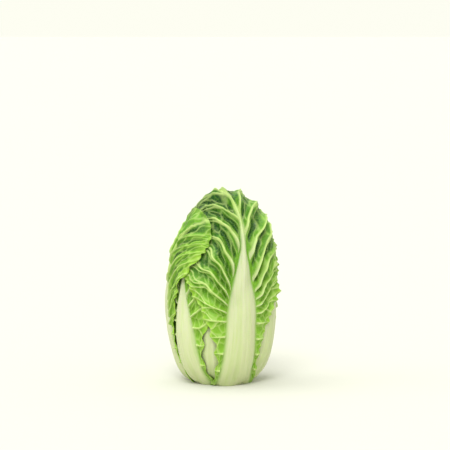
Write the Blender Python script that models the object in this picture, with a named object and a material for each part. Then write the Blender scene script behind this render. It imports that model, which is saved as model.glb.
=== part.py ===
"""Napa cabbage: a barrel-shaped head that stands on its cut stem.

Eight wrapper leaves close round a dense heart. Every leaf is drawn flat, as an outline with a
midrib and a fan of side veins, and then wrapped over the heart. A leaf lies on all the leaves
inside it: its height above the heart is the sum of their thicknesses there, and it is then
raised wherever its waves would still touch theirs.
Metres, +Z up. The front of the head faces -Y, and the origin is the middle of the cut stem.
"""

from math import pi, radians

import bmesh
import bpy
import numpy as np
from mathutils import Vector
from mathutils.bvhtree import BVHTree

MM = 0.001

# Heart: the inner body that the leaves close round, a turned barrel.
HEART_RADIUS = 62.5 * MM
HEART_BOTTOM = 8 * MM
HEART_WAIST = 105 * MM
HEART_TOP = 243 * MM
LOWER_SQUARENESS = 3.0
UPPER_SQUARENESS = 2.1
HEART_ROWS = 22
HEART_RELIEF = 3 * MM
HEART_RIBS = 7

# Stem: the cut butt below, tapering up into the heart.
STEM_RADIUS = 20 * MM
STEM_SHOULDER = 11 * MM
STEM_TIP_RADIUS = 9 * MM
STEM_HEIGHT = 52 * MM
STEM_SIDES = 40
FIT_GAP = 0.3 * MM

# Leaves: the sizes that all share. Widths and lengths are along the heart's surface.
GOLDEN_ANGLE = 137.5
FIRST_AZIMUTH = -113.5
LEAF_ROOT = 24 * MM
LEVEL_RISE = 0.84
FAN_FROM = 0.34
FAN_OVER = 0.2
FAN_CLOSE = 0.35
VEIN_BOW = 0.65
ROOT_HALF_WIDTH = 28 * MM
WIDENS_FROM = 45 * MM
WIDENS_OVER = 180 * MM
TIP_SHARE = 0.36
FORK_SHARE = 0.85
BLADE = 1.0 * MM
LEAF_GAP = 1.1 * MM
PRESSED_LIFT = 0.7 * MM
VEIN_LIFT = 6.5 * MM
RUFFLE_LIFT = 7.0 * MM
SCALLOP = 4.0 * MM
TIP_CURL = 4.0 * MM
RIB_HALF_WIDTH = 22 * MM
RIB_FULL_SHARE = 0.5
RIB_END_HALF_WIDTH = 1.8 * MM
RIB_WIDEST_SHARE = 0.8
RIB_LEAST = 0.5 * MM
RIB_DEPTH = 9.5 * MM
THIN_RIB_SHARE = 0.12
DRAPE_START = 5 * MM
DRAPE_WIDTH = 18 * MM
EXPOSED_FROM = 2 * MM
EXPOSED_OVER = 9 * MM
TUFT_FROM = 0.9
VEIN_FADE = 0.55
LEAST_RELIEF = 0.35
VEIN_CLIMB = 0.2
RIB_TAPER_POWER = 12
OUTLINE_STEPS = 36
ROWS_PER_VEIN = 2.7
RIB_COLUMNS = (0.0, 0.5, 0.85, 1.05)
BLADE_COLUMNS = (0.18, 0.42, 0.7, 1.0)

# Resting: each leaf is raised until spots spread over its triangles clear the leaves inside it.
CLEARANCE = 0.6 * MM
CLEARING_ROUNDS = 40
CLEARING_STEP = 0.25 * MM
PROBE_REACH = 60 * MM
PROBES = (
    (1.0, 0.0, 0.0),
    (0.0, 1.0, 0.0),
    (0.0, 0.0, 1.0),
    (0.5, 0.5, 0.0),
    (0.0, 0.5, 0.5),
    (0.5, 0.0, 0.5),
    (1 / 3, 1 / 3, 1 / 3),
    (0.66, 0.17, 0.17),
    (0.17, 0.66, 0.17),
    (0.17, 0.17, 0.66),
)

# The crown leans a little towards +X.
CROWN_LEAN = 9 * MM
LEAN_FROM = 0.55

# Chart: how a flat leaf is wrapped over the heart.
CHART_LATITUDE = radians(10)
ACROSS = 72 * MM

LEAF_COLOURS = {
    "blade": (0.30, 0.50, 0.10, 1.0),
    "heart": (0.72, 0.78, 0.40, 1.0),
    "stem": (0.86, 0.87, 0.72, 1.0),
}


class Leaf:
    """One wrapper leaf.

    Its midrib ends at rib_length. Its tip swings sweep to the right, all the later for a higher
    sweep_power. Relief scales its waves, and tuft is how far its tip stands off the head.
    """

    def __init__(self, number, turn, length, half_width, rows, rib_length, sweep, sweep_power, relief, tuft):
        self.name = f"leaf_{number}"
        self.azimuth = radians(FIRST_AZIMUTH + GOLDEN_ANGLE * (number - 1) + turn)
        self.length = length * MM
        self.half_width = half_width * MM
        self.rows = rows
        self.rib_length = rib_length * MM
        self.sweep = sweep * MM
        self.sweep_power = sweep_power
        self.relief = relief
        self.tuft = tuft * MM


def wrapper_leaves():
    """The leaves from the outermost in, each a golden angle on from the one outside it."""
    return [
        Leaf(1, 5, 276, 52, 31, 198, 49, 1.3, 0.6, 0),
        Leaf(2, 0, 346, 88, 37, 234, -22, 6, 1.1, 9),
        Leaf(3, 0, 306, 88, 31, 220, 0, 1, 0.9, 4),
        Leaf(4, 10, 306, 84, 27, 188, 0, 1, 0.9, 4),
        Leaf(5, 0, 290, 82, 21, 220, 0, 1, 1.0, 4),
        Leaf(6, 0, 288, 80, 19, 210, 0, 1, 1.2, 9),
        Leaf(7, 0, 278, 74, 19, 210, 0, 1, 1.0, 4),
        Leaf(8, 0, 276, 74, 17, 210, 0, 1, 1.0, 4),
    ]


def smoothstep(x):
    x = np.clip(x, 0.0, 1.0)
    return x * x * (3 - 2 * x)


def meridian():
    """The heart's profile from its bottom pole to its top, evenly spaced: radius, height and normal."""
    turn = np.linspace(-pi / 2, pi / 2, 4001)
    squareness = np.where(turn < 0, LOWER_SQUARENESS, UPPER_SQUARENESS)
    reach = np.where(turn < 0, HEART_WAIST - HEART_BOTTOM, HEART_TOP - HEART_WAIST)
    radius = HEART_RADIUS * np.abs(np.cos(turn)) ** (2 / squareness)
    height = HEART_WAIST + reach * np.sign(turn) * np.abs(np.sin(turn)) ** (2 / squareness)
    run = np.concatenate([[0], np.cumsum(np.hypot(np.diff(radius), np.diff(height)))])
    even = np.linspace(0, run[-1], 1001)
    radius = np.interp(even, run, radius)
    height = np.interp(even, run, height)
    along_radius = np.gradient(radius, even)
    along_height = np.gradient(height, even)
    length = np.hypot(along_radius, along_height)
    return run[-1], radius, height, along_height / length, -along_radius / length


PROFILE_LENGTH, PROFILE_RADIUS, PROFILE_HEIGHT, NORMAL_OUT, NORMAL_UP = meridian()
ALONG = PROFILE_LENGTH / pi


def raised(ball, lift):
    """Points over the heart: ball gives where on it, as unit vectors, and lift how far out."""
    share = (np.arcsin(np.clip(ball[..., 2], -1, 1)) + pi / 2) / pi
    places = np.linspace(0, 1, len(PROFILE_RADIUS))
    radius = np.interp(share, places, PROFILE_RADIUS) + lift * np.interp(share, places, NORMAL_OUT)
    height = np.interp(share, places, PROFILE_HEIGHT) + lift * np.interp(share, places, NORMAL_UP)
    flat = np.maximum(np.hypot(ball[..., 0], ball[..., 1]), 1e-12)
    lean = CROWN_LEAN * smoothstep((height / HEART_TOP - LEAN_FROM) / (1 - LEAN_FROM))
    return np.stack([radius * ball[..., 0] / flat + lean, radius * ball[..., 1] / flat, height], axis=-1)


def chart_axes(leaf):
    """The middle of a leaf's chart on the unit ball, and its sideways and upward directions."""
    out = np.array([np.sin(leaf.azimuth), -np.cos(leaf.azimuth), 0.0])
    side = np.array([np.cos(leaf.azimuth), np.sin(leaf.azimuth), 0.0])
    up = np.array([0.0, 0.0, 1.0])
    middle = np.cos(CHART_LATITUDE) * out + np.sin(CHART_LATITUDE) * up
    return middle, side, np.cos(CHART_LATITUDE) * up - np.sin(CHART_LATITUDE) * out


def swept(leaf, y):
    """How far the leaf's middle line has swung to the right."""
    along = np.clip((y - LEAF_ROOT) / (leaf.length - LEAF_ROOT), 0.0, 1.2)
    return leaf.sweep * along**leaf.sweep_power


def wrap(leaf, x, y):
    """Where a flat leaf's points lie on the ball. y runs along the leaf from the heart's bottom pole."""
    middle, side, upward = chart_axes(leaf)
    a = (x + swept(leaf, y)) / ACROSS
    b = y / ALONG - (pi / 2 + CHART_LATITUDE)
    far = np.maximum(np.hypot(a, b), 1e-9)
    spread = np.sin(far) / far
    return (
        np.cos(far)[..., None] * middle
        + (spread * a)[..., None] * side
        + (spread * b)[..., None] * upward
    )


def unwrap(leaf, ball):
    """The flat place on a leaf of each point on the ball: the inverse of wrap."""
    middle, side, upward = chart_axes(leaf)
    far = np.arccos(np.clip(ball @ middle, -1, 1))
    spread = np.maximum(far, 1e-9) / np.maximum(np.sin(far), 1e-9)
    y = ALONG * (spread * (ball @ upward) + pi / 2 + CHART_LATITUDE)
    return ACROSS * spread * (ball @ side) - swept(leaf, y), y


def half_width(leaf, y):
    """The blade's half width: slender wings at the root, broad above, blunt at the tip."""
    growth = smoothstep((y - WIDENS_FROM) / WIDENS_OVER)
    wide = ROOT_HALF_WIDTH + (leaf.half_width - ROOT_HALF_WIDTH) * growth
    near_tip = np.clip(1 - (leaf.length - y) / (TIP_SHARE * leaf.length), 0.0, 1.0)
    return wide * np.sqrt(1 - near_tip**3)


def rib_fullness(leaf, y):
    """1 where the midrib has its full width, easing to 0 where it ends."""
    full = RIB_FULL_SHARE * leaf.rib_length
    return 1 - smoothstep((y - full) / (leaf.rib_length - full))


def rib_half_width(leaf, y):
    """The midrib's half width, which stays inside the blade's own edge."""
    rib = RIB_END_HALF_WIDTH + (RIB_HALF_WIDTH - RIB_END_HALF_WIDTH) * rib_fullness(leaf, y)
    return np.minimum(rib, RIB_WIDEST_SHARE * half_width(leaf, y) + RIB_LEAST)


def thickness(leaf, x, y):
    """Blade thickness, with the midrib swelling out of it."""
    depth = THIN_RIB_SHARE + (1 - THIN_RIB_SHARE) * rib_fullness(leaf, y)
    across = np.clip(1 - (x / rib_half_width(leaf, y)) ** 2, 0.0, 1.0)
    return BLADE + (RIB_DEPTH - BLADE) * depth * across


def distance_inside(leaf, x, y):
    """How far each flat point is inside the leaf's outline, negative outside it."""
    run = np.linspace(LEAF_ROOT, leaf.length, OUTLINE_STEPS)
    right = np.stack([half_width(leaf, run), run], axis=-1)
    ring = np.concatenate([right, (right * (-1, 1))[-2::-1]])
    points = np.stack([x, y], axis=-1)[..., None, :]
    start = ring
    step = np.roll(ring, -1, axis=0) - ring
    along = ((points - start) * step).sum(-1) / np.maximum((step**2).sum(-1), 1e-12)
    nearest = start + np.clip(along, 0, 1)[..., None] * step
    distance = np.sqrt(((points - nearest) ** 2).sum(-1).min(-1))
    inside = (np.abs(x) < half_width(leaf, y)) & (y > LEAF_ROOT) & (y < leaf.length)
    return np.where(inside, distance, -distance)


def cover(leaf, ball, start, width):
    """1 under or over a leaf and a start past its edge, easing to 0 over a width beyond."""
    x, y = unwrap(leaf, ball)
    return smoothstep((distance_inside(leaf, x, y) + start + width) / width)


def stack(inner_leaves, ball):
    """How far the pile of these leaves stands over the heart."""
    total = np.full(ball.shape[:-1], LEAF_GAP)
    for leaf in inner_leaves:
        x, y = unwrap(leaf, ball)
        layer = thickness(leaf, x, y) + PRESSED_LIFT + LEAF_GAP
        total += cover(leaf, ball, DRAPE_START, DRAPE_WIDTH) * layer
    return total


def steepness(share):
    """0 for the low veins, which run out nearly level, easing to 1 for those that fan out steeply."""
    return smoothstep((share - FAN_FROM) / FAN_OVER)


def rises(share):
    """How far up the edge each vein ends, for the share of the rib where it starts."""
    steep = steepness(share)
    return (1 - steep) * LEVEL_RISE * share + steep * (1 - FAN_CLOSE * (1 - share))


def row_shares(leaf):
    """How far along the rib each row leaves it, so that rows are even between the rib and the edge."""
    share = np.linspace(0, 1, 401)
    row = np.linspace(0, 1, leaf.rows + 1)[:, None]
    return np.interp(row, (share + rises(share)) / 2, share)


def crests(leaf, side):
    """1 for a row on a vein and 0 in a valley. A wave isn't a whole number of rows, so no two are alike."""
    number = np.arange(leaf.rows + 1)[:, None]
    return 0.5 - 0.5 * np.cos(2 * pi * number / ROWS_PER_VEIN + leaf.azimuth + side)


def vein_fan(leaf, side):
    """The flat points of one half of a leaf. Each row follows a side vein, or the valley between two.

    Low veins run out nearly level and high ones steeply, and the last row runs up the middle to the tip.
    """
    row = row_shares(leaf)
    on_rib = LEAF_ROOT + (FORK_SHARE * leaf.length - LEAF_ROOT) * row
    at_edge = LEAF_ROOT + (leaf.length - LEAF_ROOT) * rises(row)
    start = on_rib + VEIN_CLIMB * row**2 * (at_edge - on_rib)
    rib = rib_half_width(leaf, on_rib) * (1 - row**RIB_TAPER_POWER)
    valley = (1 - crests(leaf, side)) * smoothstep(row / 0.2) * smoothstep((1 - row) / 0.1)
    edge = half_width(leaf, at_edge) - leaf.relief * SCALLOP * valley
    across = np.array(RIB_COLUMNS)
    rib_x = rib * across
    rib_y = on_rib + (start - on_rib) * across / across[-1]
    t = np.array(BLADE_COLUMNS)
    steep = steepness(row)
    bow = VEIN_BOW * steep
    blade_x = rib_x[:, -1:] + ((1 - bow) * t + bow * t**2) * (edge - rib_x[:, -1:])
    blade_y = start + t * (at_edge - start)
    return side * np.hstack([rib_x, blade_x]), np.hstack([rib_y, blade_y])


def relief(leaf, side, y, exposed):
    """How far a half leaf stands up: veins, a waved edge between them and the tip's tuft."""
    rows, columns = exposed.shape
    crest = crests(leaf, side)
    outward = np.concatenate([np.zeros(len(RIB_COLUMNS)), BLADE_COLUMNS])[None, :]
    row = row_shares(leaf)
    upper = LEAST_RELIEF + (1 - LEAST_RELIEF) * smoothstep((row - 0.25) / 0.25)
    past_rib = (np.arange(columns) >= len(RIB_COLUMNS))[None, :]
    vein = crest * upper * (1 - VEIN_FADE * outward) * past_rib
    edge = (1 - crest) * outward**4 * upper
    tip = smoothstep((row - 0.8) / 0.2)
    waves = VEIN_LIFT * vein + RUFFLE_LIFT * (1 + 0.5 * tip) * edge + TIP_CURL * tip
    tuft = leaf.tuft * smoothstep((y / leaf.length - TUFT_FROM) / (1 - TUFT_FROM))
    full = leaf.relief * waves + tuft
    return smoothstep(row / 0.08) * (PRESSED_LIFT * vein * (1 - exposed) + full * exposed)


def leaf_faces(corner):
    """Triangles of one half of one face. corner[row, column] is a vertex number.

    The last row runs on up the middle of the leaf, so its first cell has one triangle only.
    """
    a, b = corner[:-1, :-1], corner[:-1, 1:]
    c, d = corner[1:, 1:], corner[1:, :-1]
    lower = np.stack([a, b, c], axis=-1).reshape(-1, 3)
    upper = np.stack([a, c, d], axis=-1).reshape(-1, 3)
    return np.concatenate([lower, np.delete(upper, (len(a) - 1) * len(a[0]), axis=0)])


def rising_ways(ball, lift):
    """The direction in which each point of the ball rises off the heart."""
    way = raised(ball, lift + MM) - raised(ball, lift)
    return way / np.linalg.norm(way, axis=-1, keepdims=True)


def shortfall(inside, points, ways, faces):
    """How much each point must rise for the triangles round it to clear what is inside."""
    raise_by = np.zeros(len(points))
    for weights in np.array(PROBES):
        spots = np.einsum("k,fkx->fx", weights, points[faces])
        out = np.einsum("k,fkx->fx", weights, ways[faces])
        out /= np.linalg.norm(out, axis=-1, keepdims=True)
        for face, spot, way in zip(faces, spots, out):
            hit, _, _, far = inside.ray_cast(Vector(spot + PROBE_REACH * way), Vector(-way))
            if hit and far < CLEARANCE + PROBE_REACH:
                short = CLEARANCE + PROBE_REACH - far
                raise_by[face] = np.maximum(raise_by[face], short * weights / np.dot(weights, weights))
    lowered = BVHTree.FromPolygons((points - CLEARANCE * ways).tolist(), faces.tolist())
    for face in {pair[0] for pair in lowered.overlap(inside)}:
        raise_by[faces[face]] = np.maximum(raise_by[faces[face]], CLEARING_STEP)
    return raise_by


def leaf_shape(leaf, inside, inner_leaves, outer_leaves):
    """A closed leaf: an inner and an outer face of like triangles, joined by a rim round the edge."""
    halves = [vein_fan(leaf, side) for side in (1, -1)]
    rows, columns = halves[0][0].shape
    right = np.arange(rows * columns).reshape(rows, columns)
    left = right + rows * columns
    left[:, 0] = right[:, 0]
    left[-1, :] = right[-1, :]
    x = np.stack([half[0] for half in halves])
    y = np.stack([half[1] for half in halves])
    ball = wrap(leaf, x, y)
    exposed = np.ones(x.shape)
    for other in outer_leaves:
        exposed *= 1 - cover(other, ball, EXPOSED_FROM, EXPOSED_OVER)
    waves = np.stack([relief(leaf, side, y[half], exposed[half]) for half, side in enumerate((1, -1))])
    lift = (stack(inner_leaves, ball) + waves).ravel()
    ball = ball.reshape(-1, 3)
    faces = np.concatenate([leaf_faces(right), leaf_faces(left)[:, ::-1]])
    for _ in range(CLEARING_ROUNDS):
        raise_by = shortfall(inside, raised(ball, lift), rising_ways(ball, lift), faces)
        if not raise_by.any():
            break
        lift += raise_by
    body = np.concatenate([raised(ball, lift), raised(ball, lift + thickness(leaf, x, y).ravel())])
    ring = np.concatenate([right[0], right[1:, -1], left[-2::-1, -1], left[0, -2:0:-1]])
    following = np.roll(ring, -1)
    far = len(ball)
    rim_lower = np.stack([ring, following, following + far], axis=-1)
    rim_upper = np.stack([ring, following + far, ring + far], axis=-1)
    return body, np.concatenate([faces[:, ::-1], faces + far, rim_lower, rim_upper])


def add_object(name, points, faces, material):
    """A mesh object of the used points, shaded smooth."""
    used = sorted({int(corner) for face in faces for corner in face})
    number = {old: new for new, old in enumerate(used)}
    mesh = bpy.data.meshes.new(name)
    triangles = [tuple(number[int(corner)] for corner in face) for face in faces]
    mesh.from_pydata([tuple(points[i]) for i in used], [], triangles)
    mesh.validate()
    mesh.shade_smooth()
    mesh.materials.append(material)
    made = bpy.data.objects.new(name, mesh)
    bpy.context.scene.collection.objects.link(made)
    return made


def plain_material(name, colour, roughness):
    made = bpy.data.materials.new(name)
    made.use_nodes = True
    shader = made.node_tree.nodes["Principled BSDF"]
    shader.inputs["Base Color"].default_value = colour
    shader.inputs["Roughness"].default_value = roughness
    shader.inputs["Metallic"].default_value = 0.0
    made.diffuse_color = colour
    return made


def ring_faces(rings):
    """Triangles of a closed body of rings of STEM_SIDES points, between a first and a last single point."""
    faces = []
    last = 1 + (rings - 1) * STEM_SIDES
    for i in range(STEM_SIDES):
        j = (i + 1) % STEM_SIDES
        faces.append((0, 1 + j, 1 + i))
        for ring in range(rings - 1):
            a, b = 1 + ring * STEM_SIDES, 1 + (ring + 1) * STEM_SIDES
            faces += [(a + i, a + j, b + j), (a + i, b + j, b + i)]
        faces.append((last + i, last + j, last + STEM_SIDES))
    return np.array(faces)


def turned(name, profile, material):
    """A solid of revolution about the Z axis. The profile runs from the axis below to the axis above."""
    angles = 2 * pi * np.arange(STEM_SIDES) / STEM_SIDES
    points = [(0, 0, profile[0][1])]
    for radius, height in profile[1:-1]:
        points += [(radius * np.cos(a), radius * np.sin(a), height) for a in angles]
    points.append((0, 0, profile[-1][1]))
    return add_object(name, points, ring_faces(len(profile) - 2), material)


def heart_relief(ball):
    """Grooves between the ribs of the closed leaves, and folds that turn round the crown."""
    bearing = np.arctan2(ball[..., 0], -ball[..., 1])
    height = ball[..., 2]
    twist = 0.9 * np.clip(height, 0, 1) ** 2
    ribs = np.abs(np.sin(HEART_RIBS * (bearing + twist) / 2))
    strength = smoothstep((height + 0.98) / 0.3) * smoothstep((0.995 - height) / 0.1)
    return -HEART_RELIEF * ribs * strength


def heart_shape():
    """The dense inner head: rings from the roof of its stem socket, out underneath and up to the crown."""
    turn = 2 * pi * np.arange(STEM_SIDES) / STEM_SIDES
    way = np.stack([np.cos(turn), np.sin(turn), 0 * turn], axis=-1)
    underside = STEM_RADIUS + FIT_GAP
    socket = [(STEM_TIP_RADIUS + FIT_GAP, STEM_HEIGHT + FIT_GAP), (underside, STEM_SHOULDER + FIT_GAP)]
    rings = [radius * way + (0, 0, height) for radius, height in socket]
    for tilt in np.linspace(underside / ALONG, pi, HEART_ROWS + 1)[:-1]:
        ball = np.sin(tilt) * way - np.cos(tilt) * np.array([0, 0, 1.0])
        rings.append(raised(ball, heart_relief(ball)))
    top = raised(np.array([[0, 0, 1.0]]), np.zeros(1))
    return np.concatenate([[[0, 0, STEM_HEIGHT + FIT_GAP]], *rings, top]), ring_faces(len(rings))


def cut_at_floor(made):
    """Cuts a body flat at the base plane, and closes the cut."""
    work = bmesh.new()
    work.from_mesh(made.data)
    whole = [*work.verts, *work.edges, *work.faces]
    floor = {"plane_co": (0, 0, 0), "plane_no": (0, 0, 1)}
    cut = bmesh.ops.bisect_plane(work, geom=whole, dist=MM / 1000, clear_inner=True, **floor)
    rim = [part for part in cut["geom_cut"] if isinstance(part, bmesh.types.BMEdge)]
    bmesh.ops.triangle_fill(work, edges=rim, use_beauty=True, normal=(0, 0, -1))
    work.to_mesh(made.data)
    work.free()
    made.data.shade_smooth()


def main():
    for old in list(bpy.data.objects):
        bpy.data.objects.remove(old)
    blade = plain_material("leaf", LEAF_COLOURS["blade"], 0.45)
    heart = plain_material("heart", LEAF_COLOURS["heart"], 0.5)
    stem = plain_material("stem", LEAF_COLOURS["stem"], 0.6)
    stem_profile = (
        (0, 0),
        (STEM_RADIUS, 0),
        (STEM_RADIUS, STEM_SHOULDER),
        (STEM_TIP_RADIUS, STEM_HEIGHT),
        (0, STEM_HEIGHT),
    )
    turned("stem", stem_profile, stem)
    placed, faces = heart_shape()
    add_object("heart", placed, faces, heart)
    inside = BVHTree.FromPolygons(placed.tolist(), faces.tolist())
    placed_faces = faces
    leaves = wrapper_leaves()
    for i in reversed(range(len(leaves))):
        points, faces = leaf_shape(leaves[i], inside, leaves[i + 1 :], leaves[:i])
        cut_at_floor(add_object(leaves[i].name, points, faces, blade))
        placed_faces = np.concatenate([placed_faces, faces + len(placed)])
        placed = np.concatenate([placed, points])
        inside = BVHTree.FromPolygons(placed.tolist(), placed_faces.tolist())


main()
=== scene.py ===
"""A whole napa cabbage standing on its cut stem, finished for close views.

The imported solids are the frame. Each one is replaced by a finer piece of the same form: wrapper
leaves with ridged side veins, puckered blades and frilled edges, the dense heart, and the cut stem.
Every leaf is drawn flat, as a midrib with a fan of side veins, and is then wrapped over the heart
and rested on the leaves inside it.
"""

import logging
from dataclasses import dataclass, field
from enum import Enum, IntEnum
from math import cos, pi, radians, sin

import bmesh
import bpy
import numpy as np
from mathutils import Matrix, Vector
from mathutils.bvhtree import BVHTree


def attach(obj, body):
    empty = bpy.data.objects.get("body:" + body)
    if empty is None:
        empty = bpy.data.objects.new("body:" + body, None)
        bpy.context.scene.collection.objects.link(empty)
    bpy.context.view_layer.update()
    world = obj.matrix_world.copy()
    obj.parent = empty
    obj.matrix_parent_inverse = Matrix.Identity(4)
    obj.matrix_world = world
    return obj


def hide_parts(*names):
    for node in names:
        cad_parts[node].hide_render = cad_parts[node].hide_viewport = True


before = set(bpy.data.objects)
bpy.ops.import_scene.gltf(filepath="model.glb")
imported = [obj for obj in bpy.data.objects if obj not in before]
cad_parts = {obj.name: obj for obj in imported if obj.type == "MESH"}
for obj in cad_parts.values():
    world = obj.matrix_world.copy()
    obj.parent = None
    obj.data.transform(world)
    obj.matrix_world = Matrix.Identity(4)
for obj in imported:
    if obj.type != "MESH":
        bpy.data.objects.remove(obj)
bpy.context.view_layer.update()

log = logging.getLogger("napa_cabbage")

MM = 0.001
Array = np.ndarray
Colour = tuple[float, float, float]

# Where a shading value starts and stops changing, and what it is there.
Span = tuple[float, float, float, float]
# Where a form starts to change, and over what length it does.
Reach = tuple[float, float]

RIPPLE_STRETCH = (0.75, 1.35)
CELL_NUDGE = (0.12, 0.88)
EASING_PASSES = 2
FLOOR_SLACK = MM / 100
FLOOR_WELD = MM / 1000


class Draw(IntEnum):
    """The first seed of each uneven form. A leaf adds its own number."""

    HEART = 5
    TEETH = 11
    PUCKERS = 40
    FRILLS = 42
    WANDER = 60
    NET_SWAY = 70
    NET = 90


def smoothstep(x: Array) -> Array:
    """Ease from 0 to 1 as x goes from 0 to 1."""
    x = np.clip(x, 0.0, 1.0)
    return x * x * (3 - 2 * x)


def eased(x: Array, start: float, over: float) -> Array:
    """Ease from 0 to 1 as x goes from start over a length."""
    return smoothstep((x - start) / over)


def ripples(x: Array, y: Array, wavelength: float, seed: int, waves: int = 7) -> Array:
    """Make an uneven, repeatable wave field.

    Args:
        x: Places across, in metres.
        y: Places along, in metres.
        wavelength: The usual distance from crest to crest.
        seed: Picks the directions and phases.
        waves: How many plain waves it is made of.

    Returns:
        Heights that stay within about -1 to 1.
    """
    draw = np.random.default_rng(seed)
    total = np.zeros(np.broadcast(x, y).shape)
    for turn, phase, stretch in zip(
        draw.uniform(0, pi, waves), draw.uniform(0, 2 * pi, waves), draw.uniform(*RIPPLE_STRETCH, waves)
    ):
        pace = 2 * pi * stretch / wavelength
        total += np.sin(pace * (np.cos(turn) * x + np.sin(turn) * y) + phase)
    return total / np.sqrt(2.0 * waves)


def cells(x: Array, y: Array, seed: int, repeat: int = 64) -> Array:
    """Divide the plane into uneven cells of about 1 across.

    Args:
        x: Places across.
        y: Places along.
        seed: Picks the cells.
        repeat: How many cells there are before they repeat.

    Returns:
        0 on the borders between cells, rising to about 1 in their middles.
    """
    draw = np.random.default_rng(seed)
    nudges = draw.uniform(*CELL_NUDGE, (repeat, repeat, 2))
    column, row = np.floor(x).astype(int), np.floor(y).astype(int)
    distances = []
    for i in (-1, 0, 1):
        for j in (-1, 0, 1):
            nudge = nudges[(column + i) % repeat, (row + j) % repeat]
            distances.append(np.hypot(column + i + nudge[..., 0] - x, row + j + nudge[..., 1] - y))
    nearest = np.sort(np.stack(distances), axis=0)[:2]
    return np.clip(nearest[1] - nearest[0], 0.0, 1.0)


def windows(values: Array, axis: int, reach: int) -> Array:
    """Gather each value with those beside it.

    Args:
        values: The values. Those on a border count on past it.
        axis: The axis along which to look.
        reach: How many places off to look, each way.

    Returns:
        The values with a further, last axis that holds what was gathered.
    """
    padding = [(reach, reach) if i == axis else (0, 0) for i in range(values.ndim)]
    padded = np.pad(values, padding, mode="edge")
    return np.lib.stride_tricks.sliding_window_view(padded, 2 * reach + 1, axis=axis)


def eased_over(values: Array, rows: int, columns: int) -> Array:
    """Ease values down over the points around them, and never below what they were.

    Args:
        values: One value for each point of both half leaves, which share their first column.
        rows: How many rows off the values are felt, in each pass.
        columns: How many columns off they are felt, in each pass.

    Returns:
        The eased values.
    """
    whole = np.concatenate([values[0][:, :0:-1], values[1]], axis=1)
    for settle in (np.max, np.mean):
        for axis, reach in ((0, rows), (1, columns)):
            for _ in range(EASING_PASSES):
                whole = settle(windows(whole, axis, reach), axis=-1)
    middle = values.shape[2] - 1
    return np.stack([whole[:, middle::-1], whole[:, middle:]])


@dataclass
class Barrel:
    """The heart's turned outline, and the places over it.

    A place is a point of the unit ball and a lift off the heart. The ball's latitude is the share
    of the way along the outline, from the pole under the heart to the pole on its crown.
    """

    radius: float = 62.5 * MM
    bottom: float = 8 * MM
    waist: float = 105 * MM
    top: float = 243 * MM
    lower_squareness: float = 3.0
    upper_squareness: float = 2.1
    lean: float = 9 * MM
    lean_from: float = 0.55
    steps: int = 1001
    length: float = field(init=False)
    outline: Array = field(init=False)
    normal: Array = field(init=False)

    def __post_init__(self) -> None:
        """Lay out the outline at even steps, with its normals."""
        turn = np.linspace(-pi / 2, pi / 2, 4 * self.steps)
        squareness = np.where(turn < 0, self.lower_squareness, self.upper_squareness)
        reach = np.where(turn < 0, self.waist - self.bottom, self.top - self.waist)
        radius = self.radius * np.abs(np.cos(turn)) ** (2 / squareness)
        height = self.waist + reach * np.sign(turn) * np.abs(np.sin(turn)) ** (2 / squareness)
        run = np.concatenate([[0], np.cumsum(np.hypot(np.diff(radius), np.diff(height)))])
        even = np.linspace(0, run[-1], self.steps)
        self.length = float(run[-1])
        self.outline = np.stack([np.interp(even, run, radius), np.interp(even, run, height)])
        along = np.gradient(self.outline, even, axis=1)
        along /= np.hypot(along[0], along[1])
        self.normal = np.stack([along[1], -along[0]])

    @property
    def along(self) -> float:
        """Metres of outline for each radian of the ball's latitude."""
        return self.length / pi

    def raised(self, ball: Array, lift: Array) -> Array:
        """Turn places into points.

        Args:
            ball: Unit vectors.
            lift: How far out from the heart each place is.

        Returns:
            Points in metres.
        """
        share = (np.arcsin(np.clip(ball[..., 2], -1, 1)) + pi / 2) / pi
        steps = np.linspace(0, 1, self.steps)
        radius = np.interp(share, steps, self.outline[0]) + lift * np.interp(share, steps, self.normal[0])
        height = np.interp(share, steps, self.outline[1]) + lift * np.interp(share, steps, self.normal[1])
        flat = np.maximum(np.hypot(ball[..., 0], ball[..., 1]), 1e-12)
        lean = self.lean * smoothstep((height / self.top - self.lean_from) / (1 - self.lean_from))
        across = radius * ball[..., 0] / flat + lean
        return np.stack([across, radius * ball[..., 1] / flat, height], axis=-1)

    def rising(self, ball: Array, lift: Array) -> Array:
        """Give the direction in which each place rises off the heart."""
        way = self.raised(ball, lift + MM) - self.raised(ball, lift)
        return way / np.linalg.norm(way, axis=-1, keepdims=True)


@dataclass
class LeafForm:
    """The sizes that all wrapper leaves share. Widths and lengths run over the heart's surface."""

    root: float = 24 * MM
    level_rise: float = 0.84
    fan_from: float = 0.34
    fan_over: float = 0.2
    fan_close: float = 0.35
    vein_bow: float = 0.65
    root_half_width: float = 28 * MM
    widens_from: float = 45 * MM
    widens_over: float = 180 * MM
    tip_share: float = 0.36
    fork_share: float = 0.85
    blade: float = 1.0 * MM
    gap: float = 1.1 * MM
    pressed_lift: float = 0.7 * MM
    scallop: float = 4.0 * MM
    rib_half_width: float = 22 * MM
    rib_full_share: float = 0.5
    rib_end_half_width: float = 1.8 * MM
    rib_widest_share: float = 0.8
    rib_least: float = 0.5 * MM
    rib_taper_power: int = 12
    rib_depth: float = 9.5 * MM
    thin_rib_share: float = 0.12
    vein_climb: float = 0.2
    drape_start: float = 5 * MM
    drape_width: float = 18 * MM
    exposed_from: float = 2 * MM
    exposed_over: float = 9 * MM
    outline_steps: int = 36
    rows_per_vein: float = 2.7
    rib_edge: float = 1.05
    chart_latitude: float = radians(10)
    across: float = 72 * MM
    wander: float = 0.42
    wander_length: float = 38 * MM
    wander_from: float = 0.2
    wander_over: float = 0.3
    tooth: float = 1.0 * MM
    tooth_length: float = 17 * MM
    smooth_root_share: float = 0.2
    smooth_tip_share: float = 0.1
    rib_columns: int = 9
    blade_columns: int = 56


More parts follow.
